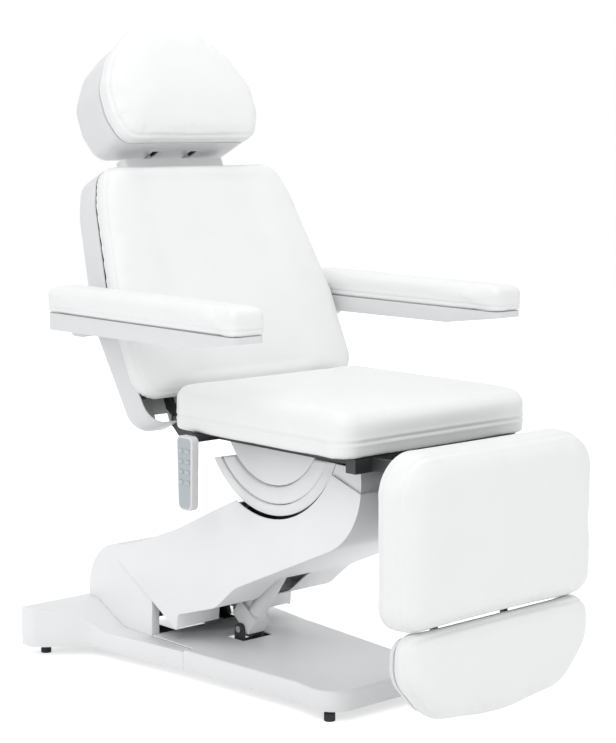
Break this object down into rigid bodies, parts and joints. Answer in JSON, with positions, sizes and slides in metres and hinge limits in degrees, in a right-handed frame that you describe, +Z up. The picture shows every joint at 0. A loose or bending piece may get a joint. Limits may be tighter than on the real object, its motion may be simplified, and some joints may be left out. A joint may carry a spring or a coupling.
{
  "type": "podiatry chair",
  "caption": "Powered treatment chair with a lift arm, tilting seat, reclining back with headrest, folding armrests, leg rest with sliding foot rest, and a hand control.",
  "frame": {"origin": "on the floor, under the middle of the chair's bounding box", "axes": "+Z up, the sitter faces -Y, the sitter's left is +X"},
  "size_m": [0.902, 1.35, 1.592],
  "materials": {
    "grey_cover": "satin",
    "white_shell": "satin",
    "upholstery": "soft satin vinyl",
    "dark_steel": "powder coat",
    "bright_steel": "turned",
    "rod_chrome": "polished",
    "dark_plastic": "matt",
    "plywood": "painted dark",
    "foot_rubber": "matt",
    "handset_plastic": "satin",
    "handset_face": "satin film",
    "key_plastic": "matt"
  },
  "bodies": {
    "base": {"base_frame": "dark_steel", "base_front_cover": "grey_cover", "base_rear_cover": "grey_cover", "pivot_housing": "grey_cover", "leveling_feet": "foot_rubber", "leveling_studs": "bright_steel", "base_pivot_pins": "bright_steel"},
    "lift_arm": {"lift_arm_frame": "dark_steel", "lift_arm_cover": "grey_cover"},
    "tie_bars": {"tie_bars": "dark_steel"},
    "lift_motor": {"lift_actuator": "grey_cover"},
    "lift_ram": {"lift_rod": "rod_chrome"},
    "carrier": {"seat_carrier": "dark_steel", "carrier_pins": "bright_steel", "guide_bushes": "dark_plastic", "round_cover_outer": "grey_cover", "round_cover_middle": "grey_cover", "arm_head_cover": "grey_cover"},
    "tilt_motor": {"tilt_actuator": "dark_plastic"},
    "tilt_ram": {"tilt_rod": "rod_chrome"},
    "seat": {"seat_frame": "dark_steel", "seat_board": "plywood", "seat_cushion": "upholstery", "round_cover_inner": "grey_cover", "hinge_pins": "bright_steel", "back_actuator": "dark_plastic", "leg_actuator": "dark_plastic", "handset_hook": "dark_steel"},
    "back_ram": {"back_rod": "rod_chrome"},
    "leg_ram": {"leg_rod": "rod_chrome"},
    "back": {"back_frame": "dark_steel", "back_board": "plywood", "back_cushion": "upholstery", "back_shell": "white_shell", "armrest_pins": "bright_steel"},
    "armrest_right": {"armrest_tray_right": "white_shell", "armrest_pad_right": "upholstery"},
    "armrest_left": {"armrest_tray_left": "white_shell", "armrest_pad_left": "upholstery"},
    "head_slide": {"headrest_slide": "white_shell", "headrest_pin": "bright_steel"},
    "head": {"headrest_shell": "white_shell", "headrest_pad": "upholstery"},
    "leg": {"legrest_frame": "dark_steel", "legrest_board": "white_shell", "legrest_pad": "upholstery"},
    "foot": {"footrest_slide": "dark_steel", "footrest_board": "white_shell", "footrest_pad": "upholstery"},
    "handset": {"handset_case": "handset_plastic", "handset_overlay": "handset_face"},
    "key_1": {"handset_key_1": "key_plastic"},
    "key_2": {"handset_key_2": "key_plastic"},
    "key_3": {"handset_key_3": "key_plastic"},
    "key_4": {"handset_key_4": "key_plastic"},
    "key_5": {"handset_key_5": "key_plastic"},
    "key_6": {"handset_key_6": "key_plastic"},
    "key_7": {"handset_key_7": "key_plastic"},
    "key_8": {"handset_key_8": "key_plastic"}
  },
  "joints": [
    {"name": "lift", "type": "hinge", "parent": "base", "child": "lift_arm", "pos_m": [0, 0.476, 0.145], "axis": [-1, 0, 0], "range_deg": [-5, 18]},
    {"name": "tie", "type": "hinge", "parent": "base", "child": "tie_bars", "pos_m": [0, 0.476, 0.075], "axis": [-1, 0, 0], "range_deg": [-5.2, 18.2]},
    {"name": "level", "type": "hinge", "parent": "lift_arm", "child": "carrier", "pos_m": [0, -0.242, 0.565], "axis": [-1, 0, 0], "range_deg": [-18.2, 5.2]},
    {"name": "lift_motor_swing", "type": "hinge", "parent": "base", "child": "lift_motor", "pos_m": [0, 0.178, 0.095], "axis": [-1, 0, 0], "range_deg": [-6.5, 22.5]},
    {"name": "lift_extend", "type": "slide", "parent": "lift_motor", "child": "lift_ram", "axis": [0, -0.5868, 0.8098], "range_m": [-0.026, 0.091]},
    {"name": "tilt", "type": "hinge", "parent": "carrier", "child": "seat", "pos_m": [0, -0.107, 0.69], "axis": [-1, 0, 0], "range_deg": [0, 12]},
    {"name": "tilt_motor_swing", "type": "hinge", "parent": "carrier", "child": "tilt_motor", "pos_m": [0, -0.222, 0.472], "axis": [-1, 0, 0], "range_deg": [0, 4.2]},
    {"name": "tilt_extend", "type": "slide", "parent": "tilt_motor", "child": "tilt_ram", "axis": [0, 0.9249, 0.3802], "range_m": [-0.036, 0]},
    {"name": "recline", "type": "hinge", "parent": "seat", "child": "back", "pos_m": [0, 0.178, 0.64], "axis": [-1, 0, 0], "range_deg": [-8, 55]},
    {"name": "recline_drive", "type": "slide", "parent": "seat", "child": "back_ram", "axis": [0, -1, 0], "range_m": [-0.0105, 0.07]},
    {"name": "leg_raise", "type": "hinge", "parent": "seat", "child": "leg", "pos_m": [0, -0.567, 0.62], "axis": [-1, 0, 0], "range_deg": [0, 85]},
    {"name": "leg_drive", "type": "slide", "parent": "seat", "child": "leg_ram", "axis": [0, -1, 0], "range_m": [0, 0.087]},
    {"name": "foot_extend", "type": "slide", "parent": "leg", "child": "foot", "axis": [0, 0, -1], "range_m": [0, 0.06]},
    {"name": "head_height", "type": "slide", "parent": "back", "child": "head_slide", "axis": [0, 0.4147, 0.91], "range_m": [0, 0.08]},
    {"name": "head_tilt", "type": "hinge", "parent": "head_slide", "child": "head", "pos_m": [0, 0.52851, 1.33195], "axis": [-1, 0, 0], "range_deg": [-12, 10]},
    {"name": "armrest_right_lift", "type": "hinge", "parent": "back", "child": "armrest_right", "pos_m": [0, 0.31269, 0.85839], "axis": [-1, 0, 0], "range_deg": [0, 90]},
    {"name": "armrest_left_lift", "type": "hinge", "parent": "back", "child": "armrest_left", "pos_m": [0, 0.31269, 0.85839], "axis": [-1, 0, 0], "range_deg": [0, 90]},
    {"name": "handset_lift_off", "type": "slide", "parent": "seat", "child": "handset", "axis": [0, 0, 1], "range_m": [0, 0.06]},
    {"name": "key_1_press", "type": "slide", "parent": "handset", "child": "key_1", "axis": [1, 0, 0], "range_m": [0, 0.001], "stiffness_N_per_m": 300, "springref_m": -0.001},
    {"name": "key_2_press", "type": "slide", "parent": "handset", "child": "key_2", "axis": [1, 0, 0], "range_m": [0, 0.001], "stiffness_N_per_m": 300, "springref_m": -0.001},
    {"name": "key_3_press", "type": "slide", "parent": "handset", "child": "key_3", "axis": [1, 0, 0], "range_m": [0, 0.001], "stiffness_N_per_m": 300, "springref_m": -0.001},
    {"name": "key_4_press", "type": "slide", "parent": "handset", "child": "key_4", "axis": [1, 0, 0], "range_m": [0, 0.001], "stiffness_N_per_m": 300, "springref_m": -0.001},
    {"name": "key_5_press", "type": "slide", "parent": "handset", "child": "key_5", "axis": [1, 0, 0], "range_m": [0, 0.001], "stiffness_N_per_m": 300, "springref_m": -0.001},
    {"name": "key_6_press", "type": "slide", "parent": "handset", "child": "key_6", "axis": [1, 0, 0], "range_m": [0, 0.001], "stiffness_N_per_m": 300, "springref_m": -0.001},
    {"name": "key_7_press", "type": "slide", "parent": "handset", "child": "key_7", "axis": [1, 0, 0], "range_m": [0, 0.001], "stiffness_N_per_m": 300, "springref_m": -0.001},
    {"name": "key_8_press", "type": "slide", "parent": "handset", "child": "key_8", "axis": [1, 0, 0], "range_m": [0, 0.001], "stiffness_N_per_m": 300, "springref_m": -0.001}
  ],
  "couplings": [
    {"joint": "tie", "follows": "lift", "ratio": 1},
    {"joint": "level", "follows": "lift", "ratio": -1},
    {"joint": "lift_motor_swing", "follows": "lift", "ratio": 1.215},
    {"joint": "lift_extend", "follows": "lift", "m_per_rad": 0.2837},
    {"joint": "tilt_motor_swing", "follows": "tilt", "ratio": 0.336},
    {"joint": "tilt_extend", "follows": "tilt", "m_per_rad": -0.1634},
    {"joint": "recline_drive", "follows": "recline", "m_per_rad": 0.07125},
    {"joint": "leg_drive", "follows": "leg_raise", "m_per_rad": 0.05729}
  ]
}
